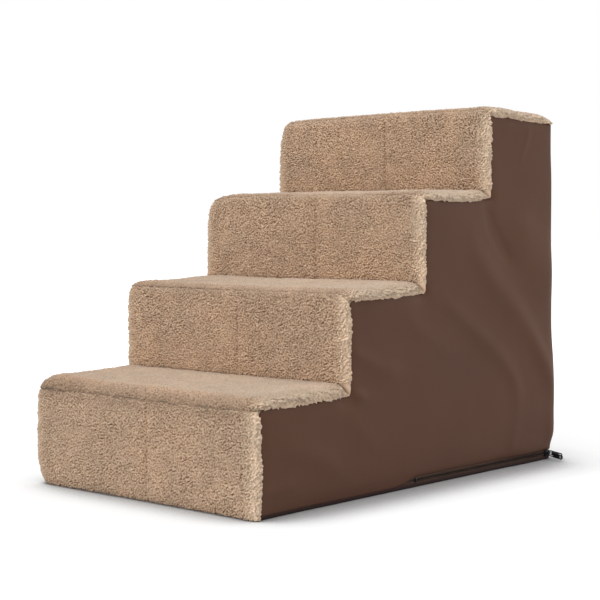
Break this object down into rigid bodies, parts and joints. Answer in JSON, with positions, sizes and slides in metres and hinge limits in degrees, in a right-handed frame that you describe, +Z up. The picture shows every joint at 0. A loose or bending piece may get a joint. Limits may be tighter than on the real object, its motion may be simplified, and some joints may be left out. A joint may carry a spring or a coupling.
{
  "type": "pet stairs",
  "caption": "Soft stepped pet stairs: a foam block in a zipped cover with curly sherpa treads and risers and smooth brown sides, for a small pet to climb to a sofa or bed.",
  "frame": {"origin": "middle of the base, on the floor", "axes": "+X across the width to the side with the zip sliders, +Y up the stairs towards the back, +Z up"},
  "size_m": [0.4353, 0.654, 0.5092],
  "materials": {
    "foam": "matte",
    "sherpa": "matte",
    "side_cloth": "satin",
    "base_cloth": "matte",
    "zip_tape": "matte",
    "zip_coil": "satin",
    "zip_metal": "satin"
  },
  "bodies": {
    "root": {"foam_slab_1": "foam", "foam_slab_2": "foam", "foam_slab_3": "foam", "foam_slab_4": "foam", "riser_fleece_1": "sherpa", "riser_fleece_2": "sherpa", "riser_fleece_3": "sherpa", "riser_fleece_4": "sherpa", "tread_fleece_1": "sherpa", "tread_fleece_2": "sherpa", "tread_fleece_3": "sherpa", "tread_fleece_4": "sherpa", "side_panel_right": "side_cloth", "side_panel_left": "side_cloth", "back_panel": "side_cloth", "base_panel": "base_cloth", "zip_tape_upper": "zip_tape", "zip_tape_lower": "zip_tape", "zip_coil_upper": "zip_coil", "zip_coil_lower": "zip_coil", "zip_stops": "zip_metal"},
    "side_slider": {"zip_slider_side": "zip_metal"},
    "back_slider": {"zip_slider_back": "zip_metal"},
    "side_pull": {"zip_pull_side": "zip_metal"},
    "back_pull": {"zip_pull_back": "zip_metal"}
  },
  "joints": [
    {"name": "side_zip_slide", "type": "slide", "parent": "root", "child": "side_slider", "axis": [0, -1, 0], "range_m": [0, 0.311]},
    {"name": "back_zip_slide", "type": "slide", "parent": "root", "child": "back_slider", "axis": [-1, 0, 0], "range_m": [0, 0.388]},
    {"name": "side_pull_swing", "type": "hinge", "parent": "side_slider", "child": "side_pull", "pos_m": [0.2063, 0.3055, 0.0095], "axis": [0.1908, 0, 0.9816], "range_deg": [-80, 40]},
    {"name": "back_pull_swing", "type": "hinge", "parent": "back_slider", "child": "back_pull", "pos_m": [0.194, 0.3178, 0.0095], "axis": [0.2136, 0.1136, 0.9703], "range_deg": [-20, 144]}
  ]
}
